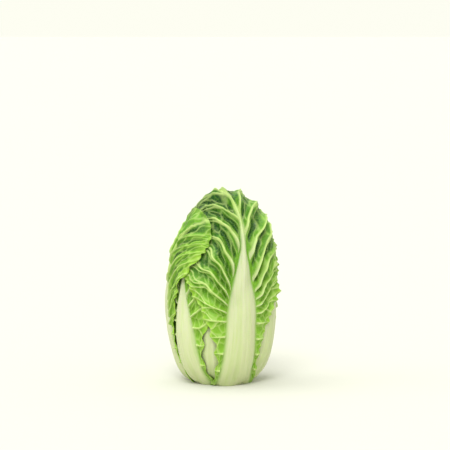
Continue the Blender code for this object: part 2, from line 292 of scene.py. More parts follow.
@dataclass
class Fan:
    """The flat points of a leaf's two halves, right then left, row by row.

    Attributes:
        x: Across the leaf, positive to the right.
        y: Along the leaf, from the heart's bottom pole.
        share: How far along the rib each row starts.
        outward: 0 on the rib, rising to 1 at the margin.
        crest: 1 on a side vein and 0 in the valley between two.
        phase: How many side veins each point is past the first, in whole turns and parts.
    """

    x: Array
    y: Array
    share: Array
    outward: Array
    crest: Array
    phase: Array


@dataclass
class WrapperLeaf:
    """One wrapper leaf: its flat outline and midrib, and how it is wrapped over the heart.

    Attributes:
        number: Counts the leaves from the outermost in.
        azimuth: Where it grows from, in degrees round the stem from the front.
        length: From the heart's bottom pole to its tip.
        half_width: Half its greatest width.
        rows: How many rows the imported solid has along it.
        rib_length: Where its midrib ends.
        sweep: How far its tip swings to the right.
        sweep_power: The higher, the later it swings.
        relief: Scales its waves.
        tuft: How far its tip stands off the head.
        ripeness: How much deeper its green is, negative for a paler leaf.
        detail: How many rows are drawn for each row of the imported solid.
        barrel: The heart's outline.
        form: The sizes that it shares with the other leaves.
    """

    number: int
    azimuth: float
    length: float
    half_width: float
    rows: int
    rib_length: float
    sweep: float
    sweep_power: float
    relief: float
    tuft: float
    ripeness: float
    detail: int
    barrel: Barrel
    form: LeafForm

    @property
    def name(self) -> str:
        """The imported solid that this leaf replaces."""
        return f"leaf_{self.number}"

    def outline_half_width(self, y: Array) -> Array:
        """Half width of the blade: slender wings at the root, broad above, blunt at the tip.

        Args:
            y: Places along the leaf.

        Returns:
            The half width at each.
        """
        form = self.form
        growth = eased(y, form.widens_from, form.widens_over)
        wide = form.root_half_width + (self.half_width - form.root_half_width) * growth
        near_tip = np.clip(1 - (self.length - y) / (form.tip_share * self.length), 0.0, 1.0)
        return wide * np.sqrt(1 - near_tip**3)

    def rib_narrowing(self, y: Array) -> Array:
        """1 where the rib has its full width, easing to 0 where it ends."""
        full = self.form.rib_full_share * self.rib_length
        return 1 - eased(y, full, self.rib_length - full)

    def rib_half_width(self, y: Array) -> Array:
        """Half width of the midrib, which stays inside the outline.

        Args:
            y: Places along the leaf.

        Returns:
            The half width at each.
        """
        form = self.form
        rib = form.rib_end_half_width
        rib = rib + (form.rib_half_width - form.rib_end_half_width) * self.rib_narrowing(y)
        return np.minimum(rib, form.rib_widest_share * self.outline_half_width(y) + form.rib_least)

    def thickness(self, x: Array, y: Array) -> Array:
        """Thickness of the blade, with the midrib swelling out of it.

        Args:
            x: Places across the leaf.
            y: Places along the leaf.

        Returns:
            The thickness at each.
        """
        form = self.form
        full = form.thin_rib_share + (1 - form.thin_rib_share) * self.rib_narrowing(y)
        depth = (form.rib_depth - form.blade) * full
        return form.blade + depth * np.clip(1 - (x / self.rib_half_width(y)) ** 2, 0.0, 1.0)

    def swept(self, y: Array) -> Array:
        """How far the leaf's middle line has swung to one side."""
        along = np.clip((y - self.form.root) / (self.length - self.form.root), 0.0, 1.2)
        return self.sweep * along**self.sweep_power

    def chart(self) -> tuple[Array, Array, Array]:
        """Place the leaf's chart on the ball.

        Returns:
            The middle of the chart, and its sideways and upward directions.
        """
        turn = radians(self.azimuth)
        tilt = self.form.chart_latitude
        out = np.array([sin(turn), -cos(turn), 0.0])
        side = np.array([cos(turn), sin(turn), 0.0])
        up = np.array([0.0, 0.0, 1.0])
        return cos(tilt) * out + sin(tilt) * up, side, cos(tilt) * up - sin(tilt) * out

    def wrap(self, x: Array, y: Array) -> Array:
        """Find where flat points of the leaf lie on the ball.

        Args:
            x: Places across the leaf.
            y: Places along the leaf.

        Returns:
            Unit vectors.
        """
        middle, side, upward = self.chart()
        a = (x + self.swept(y)) / self.form.across
        b = y / self.barrel.along - (pi / 2 + self.form.chart_latitude)
        far = np.maximum(np.hypot(a, b), 1e-9)
        spread = np.sin(far) / far
        return (
            np.cos(far)[..., None] * middle
            + (spread * a)[..., None] * side
            + (spread * b)[..., None] * upward
        )

    def unwrap(self, ball: Array) -> tuple[Array, Array]:
        """Find the flat place on the leaf of points on the ball.

        Args:
            ball: Unit vectors.

        Returns:
            Their places across and along the leaf.
        """
        middle, side, upward = self.chart()
        far = np.arccos(np.clip(ball @ middle, -1, 1))
        spread = np.maximum(far, 1e-9) / np.maximum(np.sin(far), 1e-9)
        y = self.barrel.along * (spread * (ball @ upward) + pi / 2 + self.form.chart_latitude)
        return self.form.across * spread * (ball @ side) - self.swept(y), y

    def distance_inside(self, x: Array, y: Array) -> Array:
        """Measure how far flat points are inside the outline.

        Args:
            x: Places across the leaf.
            y: Places along the leaf.

        Returns:
            The distance of each, negative outside the outline.
        """
        run = np.linspace(self.form.root, self.length, self.form.outline_steps)
        right = np.stack([self.outline_half_width(run), run], axis=-1)
        ring = np.concatenate([right, (right * (-1, 1))[-2::-1]])
        nearest = np.full(x.shape, np.inf)
        for start, end in zip(ring, np.roll(ring, -1, axis=0)):
            step = end - start
            size = max(float(step @ step), 1e-12)
            along = np.clip(((x - start[0]) * step[0] + (y - start[1]) * step[1]) / size, 0, 1)
            gap = (x - start[0] - along * step[0]) ** 2 + (y - start[1] - along * step[1]) ** 2
            nearest = np.minimum(nearest, gap)
        inside = (np.abs(x) < self.outline_half_width(y)) & (y > self.form.root) & (y < self.length)
        return np.where(inside, np.sqrt(nearest), -np.sqrt(nearest))

    def cover(self, ball: Array, start: float, width: float) -> Array:
        """1 under or over this leaf and a start past its edge, easing to 0 over a width beyond."""
        inside = self.distance_inside(*self.unwrap(ball))
        return eased(inside, -start - width, width)

    def phase(self, row: Array, side: int) -> Array:
        """How many side veins a row is past the first valley."""
        return row / self.form.rows_per_vein + (radians(self.azimuth) + side) / (2 * pi)

    @staticmethod
    def crests(phase: Array) -> Array:
        """1 on a side vein and 0 in the valley between two."""
        return 0.5 - 0.5 * np.cos(2 * pi * phase)

    def fan(self) -> Fan:
        """Draw the flat leaf. Each row follows a side vein, or runs beside one."""
        halves = [self.half_fan(side) for side in (1, -1)]
        return Fan(*(np.stack(parts) for parts in zip(*halves)))

    def rises(self, share: Array) -> Array:
        """Lead the side veins from the rib to the margin.

        Args:
            share: How far along the rib each vein starts.

        Returns:
            How far up the margin it ends.
        """
        form = self.form
        steep = eased(share, form.fan_from, form.fan_over)
        return (1 - steep) * form.level_rise * share + steep * (1 - form.fan_close * (1 - share))

    def row_shares(self, row: Array) -> Array:
        """How far along the rib each row starts, so that rows are even between rib and margin."""
        share = np.linspace(0, 1, 401)
        return np.interp(row / self.rows, (share + self.rises(share)) / 2, share)

    def half_fan(self, side: int) -> tuple[Array, ...]:
        """Draw one half of the flat leaf.

        Args:
            side: 1 for the right half, -1 for the left.

        Returns:
            The values of a Fan for this half, in order.
        """
        form = self.form
        row = np.linspace(0, self.rows, self.rows * self.detail + 1)[:, None]
        share = self.row_shares(row)
        on_rib = form.root + (form.fork_share * self.length - form.root) * share
        at_edge = form.root + (self.length - form.root) * self.rises(share)
        start = on_rib + form.vein_climb * share**2 * (at_edge - on_rib)
        rib = self.rib_half_width(on_rib) * (1 - share**form.rib_taper_power)
        phase = self.phase(row, side)
        ends = smoothstep(share / form.smooth_root_share) * smoothstep((1 - share) / form.smooth_tip_share)
        apart = 1000 * side + 0 * row
        teeth = form.tooth * ripples(apart, at_edge, form.tooth_length, Draw.TEETH + self.number)
        cut = self.relief * form.scallop * (1 - self.crests(phase)) + teeth
        edge = self.outline_half_width(at_edge) - ends * cut
        across = np.linspace(0, form.rib_edge, form.rib_columns + 1)[None, :]
        rib_x = rib * across
        rib_y = on_rib + (start - on_rib) * across / form.rib_edge
        t = np.linspace(0, 1, form.blade_columns + 1)[None, 1:]
        bow = form.vein_bow * eased(share, form.fan_from, form.fan_over)
        blade_x = rib_x[:, -1:] + ((1 - bow) * t + bow * t**2) * (edge - rib_x[:, -1:])
        blade_y = start + t * (at_edge - start)
        x = side * np.hstack([rib_x, blade_x])
        outward = np.hstack([0 * across, t]) + 0 * x
        y = np.hstack([rib_y, blade_y])
        wander = ripples(x, y, form.wander_length, Draw.WANDER + self.number) * outward * (1 - outward**3)
        phase = phase + form.wander * eased(share, form.wander_from, form.wander_over) * wander
        return x, y, share + 0 * x, outward, self.crests(phase), phase


@dataclass
class LeafRelief:
    """The standing forms of a leaf: what both faces share, and the ridges of the outer face.

    Attributes:
        leaf: The leaf.
        fan: Its flat points.
        exposed: 1 where nothing lies over the leaf, 0 where it is pressed flat.
    """

    leaf: WrapperLeaf
    fan: Fan
    exposed: Array
    least_relief: float = 0.35
    full_relief: Reach = (0.25, 0.25)
    blade_from: float = 0.12
    root_share: float = 0.08
    vein_lift: float = 6.5 * MM
    vein_fade: float = 0.55
    vein_root: float = 0.1
    vein_roundness: float = 0.65
    ruffle_lift: float = 7.0 * MM
    tip_from: float = 0.8
    tip_ruffle: float = 0.5
    tip_curl: float = 4.0 * MM
    tuft_from: float = 0.9
    pucker_height: float = 0.9 * MM
    pucker_length: float = 15 * MM
    frill_height: float = 2.0 * MM
    frill_length: float = 14 * MM
    frill_slant: float = 0.6
    frill_sway: float = 1.2
    sway_length: float = 30 * MM
    pit_depth: float = 1.5 * MM
    pit_on_vein: float = 0.4
    pit_length: float = 8 * MM
    pit_sway: float = 0.4
    pit_slope: float = 0.55
    pits_per_vein: float = 1.6
    twig_height: float = 0.5 * MM
    twig_width: float = 0.35
    ridge_height: float = 3.0 * MM
    ridge_fade: float = 0.75
    ridge_root: float = 0.06
    ridges_from: float = 0.1
    vein_thickens: Reach = (0.2, 0.3)
    vein_thins: Reach = (0.65, 0.2)
    vein_ends: Reach = (0.86, 0.1)
    vein_sharpness: tuple[float, float, float] = (5, 10, 50)
    low_sharpness: float = 22
    tip_sharpness: float = 8
    fork_height: float = 1.3 * MM
    forks_at: tuple[tuple[float, float], ...] = ((0.28, 0.5), (0.5, -0.36))
    forks_end: float = 1.05
    fork_bend: float = 0.7
    fork_root: float = 0.1
    fork_sharpness: tuple[float, float] = (18, 60)
    forked_widths: Reach = (50 * MM, 20 * MM)
    spine_height: float = 1.6 * MM
    spine_half_width: float = 5.0 * MM
    spine_tip: float = 0.4
    spine_flatness: float = 1.3
    spine_narrows: Reach = (0.6, 0.35)
    spine_starts: Reach = (0.4, 0.2)
    spine_ends: Reach = (0.85, 0.12)
    flute_height: float = 0.7 * MM
    flutes: float = 2.5
    flute_turn: float = 0.8
    bone_edge: float = 1.16
    bone_soft: float = 0.3
    bone_out_on_vein: float = 0.3
    bone_on_vein: float = 0.75
    bone_on_spine: float = 0.9
    vein_paint_fade: float = 0.5
    fork_paint: float = 0.6

    @property
    def upper(self) -> Array:
        """Weaker relief beside the lower rib, full relief in the broad blade."""
        grown = eased(self.fan.share, *self.full_relief)
        return self.least_relief + (1 - self.least_relief) * grown

    @property
    def on_blade(self) -> Array:
        """0 on the midrib, 1 from a little way out on the blade."""
        return smoothstep(self.fan.outward / self.blade_from)

    def both_faces(self) -> Array:
        """Raise what both faces share: veins, puckers between them, and the waved margin.

        Returns:
            How far both faces stand up.
        """
        leaf, fan = self.leaf, self.fan
        out = fan.outward
        rounded = self.vein_roundness * fan.crest + (1 - self.vein_roundness) * fan.crest**4
        vein = rounded * self.upper * (1 - self.vein_fade * out) * (out > 0)
        vein = vein * smoothstep(out / self.vein_root)
        edge = (1 - fan.crest) * out**4 * self.upper
        tip = eased(fan.share, self.tip_from, 1 - self.tip_from)
        full = self.vein_lift * vein + self.ruffle_lift * (1 + self.tip_ruffle * tip) * edge
        full = leaf.relief * (full + self.tip_curl * tip + self.puckers() + self.frills())
        full = full + leaf.tuft * eased(fan.y / leaf.length, self.tuft_from, 1 - self.tuft_from)
        pressed = leaf.form.pressed_lift * vein * (1 - self.exposed)
        return smoothstep(fan.share / self.root_share) * (pressed + full * self.exposed)

    def puckers(self) -> Array:
        """Pucker the blade between its veins, and sink the pits of its net.

        Returns:
            How far the blade stands up.
        """
        fan = self.fan
        coarse = ripples(fan.x, fan.y, self.pucker_length, Draw.PUCKERS + self.leaf.number)
        sunk = self.pit_depth * self.pits() * (1 - (1 - self.pit_on_vein) * fan.crest)
        return (self.pucker_height * coarse - sunk) * self.on_blade * self.upper

    def frills(self) -> Array:
        """Wave the margin.

        Returns:
            How far the margin stands up.
        """
        fan = self.fan
        sway = self.frill_sway * ripples(fan.x, fan.y, self.sway_length, Draw.FRILLS + self.leaf.number)
        wave = np.sin(2 * pi * (fan.y + self.frill_slant * np.abs(fan.x)) / self.frill_length + sway)
        return self.frill_height * wave * fan.outward**5 * self.upper

    def pits(self) -> Array:
        """Sink the blade between its small veins.

        Returns:
            How deep each place is in their net: 0 on a small vein, about 1 between them.
        """
        fan, number = self.fan, self.leaf.number
        sway = ripples(fan.x, fan.y, self.sway_length, Draw.NET_SWAY + number)
        out = np.abs(fan.x) / self.pit_length + self.pit_sway * sway
        net = cells(out, fan.phase * self.pits_per_vein, Draw.NET + number)
        return smoothstep(net / self.pit_slope)

    def twig(self) -> Array:
        """1 on the small veins of the net."""
        return smoothstep((self.twig_width - self.pits()) / self.twig_width) * self.on_blade

    def main_vein(self) -> Array:
        """Draw the side veins, narrower towards the margin, low down and near the tip.

        Returns:
            1 along the middle of each, 0 between them.
        """
        fan = self.fan
        low = 1 - eased(fan.share, *self.vein_thickens)
        tip = eased(fan.share, *self.vein_thins)
        at_rib, outward, at_margin = self.vein_sharpness
        sharp = at_rib + outward * fan.outward + at_margin * fan.outward**2
        sharp = sharp + self.low_sharpness * low + self.tip_sharpness * tip
        return fan.crest**sharp * (fan.outward > 0) * (1 - eased(fan.share, *self.vein_ends))

    def forks(self) -> Array:
        """Draw the lesser veins, which leave the side veins and run out between them.

        Returns:
            1 along each, 0 between them and on narrow leaves.
        """
        fan, total = self.fan, np.zeros(self.fan.x.shape)
        at_rib, at_margin = self.fork_sharpness
        for leaves_at, way in self.forks_at:
            apart = way * eased(fan.outward, leaves_at, self.forks_end - leaves_at) ** self.fork_bend
            line = self.leaf.crests(fan.phase + apart) ** (at_rib + at_margin * fan.outward**2)
            total = np.maximum(total, line * eased(fan.outward, leaves_at, self.fork_root))
        return total * eased(self.leaf.half_width, *self.forked_widths)

    def spine(self) -> Array:
        """Draw the upper midrib, where the side veins run into it.

        Returns:
            1 along its middle, 0 beside it.
        """
        fan = self.fan
        share = fan.y / self.leaf.length
        width = self.spine_half_width * (1 - (1 - self.spine_tip) * eased(share, *self.spine_narrows))
        near = smoothstep(self.spine_flatness * (1 - np.abs(fan.x) / width))
        return near * eased(share, *self.spine_starts) * (1 - eased(share, *self.spine_ends))

    def outer_ridges(self) -> Array:
        """Raise the veins and the flutes of the midrib on the outer face.

        Returns:
            How far they stand out of it.
        """
        out = self.fan.outward
        ridge = self.ridge_height * self.main_vein() * (1 - self.ridge_fade * out)
        main = ridge * smoothstep(out / self.ridge_root)
        main = np.maximum(main, self.fork_height * self.forks() * self.upper)
        main = np.maximum(main, self.spine_height * self.spine())
        fine = self.twig_height * self.twig() * (1 - out)
        across = self.fan.x / self.leaf.rib_half_width(self.fan.y)
        flute = np.cos(2 * pi * self.flutes * across + self.flute_turn) * (1 - across**2)
        flute = np.where(out > 0, 0.0, self.flute_height * flute) * self.leaf.rib_narrowing(self.fan.y)
        return (main + fine + flute) * smoothstep(self.fan.share / self.ridges_from)

    def paint(self) -> dict[str, Array]:
        """Give the values that the leaf's finish reads.

        Returns:
            The value at every point, by attribute name.
        """
        leaf, fan = self.leaf, self.fan
        rib = smoothstep((self.bone_edge - np.abs(fan.x) / leaf.rib_half_width(fan.y)) / self.bone_soft)
        root = 1 - smoothstep(fan.outward / self.bone_out_on_vein)
        root = root * (1 - eased(fan.share, *self.vein_thins))
        vein, rib = self.main_vein(), np.maximum(rib, self.bone_on_spine * self.spine())
        faded = vein * (1 - self.vein_paint_fade * fan.outward)
        return {
            "rib": np.maximum(rib, self.bone_on_vein * vein * root),
            "vein": np.maximum(faded, self.fork_paint * self.forks()),
            "twig": self.twig(),
            # pit: where the finish lays painted shade in the net's sunk pits.
            "pit": self.pits() * self.on_blade,
            # valley: where the finish lays painted shade between the side veins.
            "valley": (1 - fan.crest) * self.upper * self.on_blade,
            "along": fan.y / leaf.length,
            "outward": fan.outward,
            "flat_x": fan.x,
            "flat_y": fan.y,
        }


class Piece:
    """A closed mesh under construction, with a value of each named attribute at every point."""

    def __init__(self, name: str) -> None:
        """Start an empty piece.

        Args:
            name: The object's name.
        """
        self.name = name
        self.points = np.zeros((0, 3))
        self.faces: list[Array] = []
        self.values: dict[str, Array] = {}

    def add_points(self, points: Array, values: dict[str, Array]) -> int:
        """Add points.

        Args:
            points: Places in metres.
            values: Their values, by attribute name.

        Returns:
            The first one's number.
        """
        first = len(self.points)
        self.points = np.concatenate([self.points, points.reshape(-1, 3)])
        for key, value in values.items():
            held = self.values.get(key, np.zeros(0))
            self.values[key] = np.concatenate([held, np.asarray(value, float).ravel()])
        return first

    def add_faces(self, faces: Array) -> None:
        """Add faces of three or four corners. A four-cornered face may repeat a corner."""
        self.faces.append(np.asarray(faces))

    def finish(self, material: bpy.types.Material, slot: str, node: str) -> bpy.types.Object:
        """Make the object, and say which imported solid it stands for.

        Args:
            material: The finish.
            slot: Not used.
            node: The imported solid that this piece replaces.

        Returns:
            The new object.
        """
        mesh = bpy.data.meshes.new(f"{self.name}_mesh")
        faces = [tuple(dict.fromkeys(face)) for part in self.faces for face in part.tolist()]
        mesh.from_pydata(self.points.tolist(), [], [face for face in faces if len(face) > 2])
        for key, value in self.values.items():
            mesh.attributes.new(key, "FLOAT", "POINT").data.foreach_set("value", value.astype(np.float32))
        self.cut_at_floor(mesh)
        mesh.shade_smooth()
        mesh.materials.append(material)
        made = bpy.data.objects.new(self.name, mesh)
        bpy.context.scene.collection.objects.link(made)
        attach(made, "root")
        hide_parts(node)
        log.info("%s: %d faces, standing for %s", self.name, len(mesh.polygons), node)
        return made

    def cut_at_floor(self, mesh: bpy.types.Mesh) -> None:
        """Cut the mesh flat where the head stands, and drop loose points.

        Args:
            mesh: The mesh, which is changed.
        """
        work = bmesh.new()
        work.from_mesh(mesh)
        bmesh.ops.delete(work, geom=[v for v in work.verts if not v.link_faces], context="VERTS")
        if min(v.co.z for v in work.verts) < -FLOOR_SLACK:
            whole = [*work.verts, *work.edges, *work.faces]
            cut = bmesh.ops.bisect_plane(
                work, geom=whole, dist=FLOOR_WELD, plane_co=(0, 0, 0), plane_no=(0, 0, 1), clear_inner=True
            )
            rim = [part for part in cut["geom_cut"] if isinstance(part, bmesh.types.BMEdge)]
            filled = bmesh.ops.triangle_fill(work, edges=rim, use_beauty=True, normal=(0, 0, -1))
            for face in filled["geom"]:
                if isinstance(face, bmesh.types.BMFace):
                    face.smooth = False
        work.to_mesh(mesh)
        work.free()


@dataclass
class LeafBuilder:
    """Rests a wrapper leaf on what is inside it and makes its mesh.

    Attributes:
        leaf: The leaf.
        inner: The leaves inside it.
        outer: The leaves outside it.
        clearance: How far it stays off what it rests on.
        easing_rows: How many rows off a raised point is felt, in each pass.
        easing_columns: How many columns off it is felt, in each pass.
        probe: From how far out it is looked for what the leaf rests on.
        thin_margin: The share of its thickness that the margin has.
        thin_from: How far out the blade starts to thin.
    """

    leaf: WrapperLeaf
    inner: list[WrapperLeaf]
    outer: list[WrapperLeaf]
    clearance: float = 0.4 * MM
    easing_rows: int = 11
    easing_columns: int = 2
    probe: float = 60 * MM
    thin_margin: float = 0.65
    thin_from: float = 0.9

    def stack(self, ball: Array) -> Array:
        """Pile up the inner leaves.

        Args:
            ball: The points' places on the ball.

        Returns:
            How far the pile stands over the heart at each.
        """
        form = self.leaf.form
        total = np.full(ball.shape[:-1], form.gap)
        for other in self.inner:
            layer = other.thickness(*other.unwrap(ball)) + form.pressed_lift + form.gap
            total += other.cover(ball, form.drape_start, form.drape_width) * layer
        return total

    def rested(self, tree: BVHTree, ball: Array, lift: Array) -> Array:
        """Raise each point that lies too low over the pile.

        Args:
            tree: The outer faces of everything inside this leaf.
            ball: The points' places on the ball.
            lift: Their lift, before.

        Returns:
            Their lift, after.
        """
        barrel = self.leaf.barrel
        points = barrel.raised(ball, lift).reshape(-1, 3)
        ways = barrel.rising(ball, lift).reshape(-1, 3)
        starts = points + self.probe * ways
        short = np.zeros(len(points))
        for i, (start, way) in enumerate(zip(starts.tolist(), (-ways).tolist())):
            far = tree.ray_cast(Vector(start), Vector(way))[3]
            if far is not None:
                short[i] = self.probe + self.clearance - far
        short = np.maximum(short.reshape(lift.shape), 0.0)
        return lift + eased_over(short, self.easing_rows, self.easing_columns)

    def build(self, tree: BVHTree, material: bpy.types.Material) -> tuple[Array, Array]:
        """Make the leaf.

        Args:
            tree: The outer faces of everything inside this leaf.
            material: The leaf's finish.

        Returns:
            The points and quads of its outer face, for the next leaf to rest on.
        """
        leaf, barrel = self.leaf, self.leaf.barrel
        fan = leaf.fan()
        ball = leaf.wrap(fan.x, fan.y)
        exposed = np.ones(fan.x.shape)
        for other in self.outer:
            exposed *= 1 - other.cover(ball, leaf.form.exposed_from, leaf.form.exposed_over)
        relief = LeafRelief(leaf, fan, exposed)
        lift = self.rested(tree, ball, self.stack(ball) + relief.both_faces())
        thin = 1 - (1 - self.thin_margin) * eased(fan.outward, self.thin_from, 1 - self.thin_from)
        outer_lift = lift + leaf.thickness(fan.x, fan.y) * thin + relief.outer_ridges()
        inner_face, outer_face = barrel.raised(ball, lift), barrel.raised(ball, outer_lift)
        piece = Piece(f"wrapper_{leaf.name}")
        paint = relief.paint()
        piece.add_points(inner_face, paint)
        far = piece.add_points(outer_face, paint)
        _, rows, columns = fan.x.shape
        right = np.arange(rows * columns).reshape(rows, columns)
        left = right + rows * columns
        left[:, 0] = right[:, 0]
        left[-1, :] = right[-1, :]
        quads = np.concatenate([self.quads(right), self.quads(left)[:, ::-1]])
        piece.add_faces(quads[:, ::-1])
        piece.add_faces(quads + far)
        ring = np.concatenate([right[0], right[1:, -1], left[-2::-1, -1], left[0, -2:0:-1]])
        following = np.roll(ring, -1)
        piece.add_faces(np.stack([ring, following, following + far, ring + far], axis=-1))
        piece.finish(material, "leaf", leaf.name)
        return outer_face.reshape(-1, 3), quads

    @staticmethod
    def quads(corner: Array) -> Array:
        """Join the points of one half. The first cell of the last row has three corners.

        Args:
            corner: The points' numbers, row by row.

        Returns:
            Faces of four corners, where the one with three repeats a corner.
        """
        cells = [corner[:-1, :-1], corner[:-1, 1:], corner[1:, 1:], corner[1:, :-1]]
        quads = np.stack(cells, axis=-1)
        quads[-1, 0, 3] = quads[-1, 0, 2]
        return quads.reshape(-1, 4)


def ring_quads(rings: int, sides: int) -> Array:
    """Join the rings of a body, between a first and a last single point.

    Args:
        rings: How many rings there are.
        sides: How many points each has.

    Returns:
        Faces of four corners, which repeat one at either end.
    """
    i = np.arange(sides)
    j = (i + 1) % sides
    parts = [np.stack([0 * i, 1 + j, 1 + i, 1 + i], axis=-1)]
    for ring in range(rings - 1):
        a, b = 1 + ring * sides, 1 + (ring + 1) * sides
        parts.append(np.stack([a + i, a + j, b + j, b + i], axis=-1))
    last = 1 + (rings - 1) * sides
    parts.append(np.stack([last + i, last + j, 0 * i + last + sides, 0 * i + last + sides], axis=-1))
    return np.concatenate(parts)


@dataclass
class Stem:
    """The short cut stem under the head."""

    radius: float = 20 * MM
    shoulder: float = 11 * MM
    tip_radius: float = 9 * MM
    height: float = 52 * MM
    edge_round: float = 1.2 * MM
    sides: int = 96
    fit_gap: float = 0.3 * MM
    cut_rings: tuple[float, ...] = (0.25, 0.5, 0.75, 1.0)
    edge_turns: tuple[float, ...] = (30.0, 60.0, 90.0)
    bulges: tuple[tuple[float, int, float], ...] = ((0.012, 5, 0.0), (0.008, 11, 1.0))

    def build(self, material: bpy.types.Material) -> bpy.types.Object:
        """Make the stem, with its cut edge slightly rounded.

        Args:
            material: Its finish.

        Returns:
            The new object.
        """
        r, e = self.radius, self.edge_round
        inner = [(f * (r - e), 0.0) for f in self.cut_rings]
        corner = [(r - e + e * sin(a), e - e * cos(a)) for a in map(radians, self.edge_turns)]
        side = [(r, self.shoulder), (self.tip_radius, self.height)]
        profile = inner + corner + side
        turn = 2 * pi * np.arange(self.sides) / self.sides
        wave = 1 + sum(share * np.sin(count * turn + start) for share, count, start in self.bulges)
        rings = []
        for radius, height in profile:
            wide = np.minimum(radius * wave, r)
            rings.append(np.stack([wide * np.cos(turn), wide * np.sin(turn), 0 * turn + height], axis=-1))
        ends = np.array([[0, 0, 0.0]]), np.array([[0, 0, self.height]])
        points = np.concatenate([ends[0], *rings, ends[1]])
        piece = Piece("cut_stem")
        piece.add_points(points, {})
        piece.add_faces(ring_quads(len(rings), self.sides))
        return piece.finish(material, "stem", "stem")


@dataclass
class Heart:
    """The dense head of closed young leaves."""

    barrel: Barrel
    stem: Stem
    ribs: int = 7
    relief: float = 3 * MM
    twist: float = 0.9
    pucker_share: float = 0.12
    pucker_spread: tuple[float, float] = (60 * MM, 90 * MM)
    pucker_length: float = 12 * MM
    grooves_start: Reach = (-0.98, 0.3)
    grooves_end: Reach = (0.995, 0.1)
    rows: int = 150
    sides: int = 280

    def grooves(self, ball: Array) -> Array:
        """Sink grooves between the closed leaves, turning round the crown.

        Args:
            ball: Places on the ball.

        Returns:
            How far each place stands out, which is negative.
        """
        bearing = np.arctan2(ball[..., 0], -ball[..., 1])
        height = ball[..., 2]
        twist = self.twist * np.clip(height, 0, 1) ** 2
        folds = np.abs(np.sin(self.ribs * (bearing + twist) / 2))
        end, over = self.grooves_end
        strength = eased(height, *self.grooves_start) * smoothstep((end - height) / over)
        round_it, up_it = self.pucker_spread
        puckers = ripples(round_it * bearing, up_it * height, self.pucker_length, Draw.HEART)
        puckers = self.pucker_share * puckers
        return -self.relief * np.clip(folds - puckers * smoothstep(height), 0, 1) * strength

    def build(self, material: bpy.types.Material) -> tuple[Array, Array]:
        """Make the heart.

        Args:
            material: Its finish.

        Returns:
            Its points and faces, for the first leaf to rest on.
        """
        turn = 2 * pi * np.arange(self.sides) / self.sides
        way = np.stack([np.cos(turn), np.sin(turn), 0 * turn], axis=-1)
        gap = self.stem.fit_gap
        underside = self.stem.radius + gap
        roof = self.stem.height + gap
        rings = [
            (self.stem.tip_radius + gap) * way + (0, 0, roof),
            underside * way + (0, 0, self.stem.shoulder + gap),
        ]
        for tilt in np.linspace(underside / self.barrel.along, pi, self.rows + 1)[:-1]:
            ball = np.sin(tilt) * way - np.cos(tilt) * np.array([0, 0, 1.0])
            rings.append(self.barrel.raised(ball, self.grooves(ball)))
        top = self.barrel.raised(np.array([[0, 0, 1.0]]), np.zeros(1))
        points = np.concatenate([[[0, 0, roof]], *rings, top])
        faces = ring_quads(len(rings), self.sides)
        piece = Piece("closed_heart")
        piece.add_points(points, {})
        piece.add_faces(faces)
        piece.finish(material, "heart", "heart")
        return points, faces


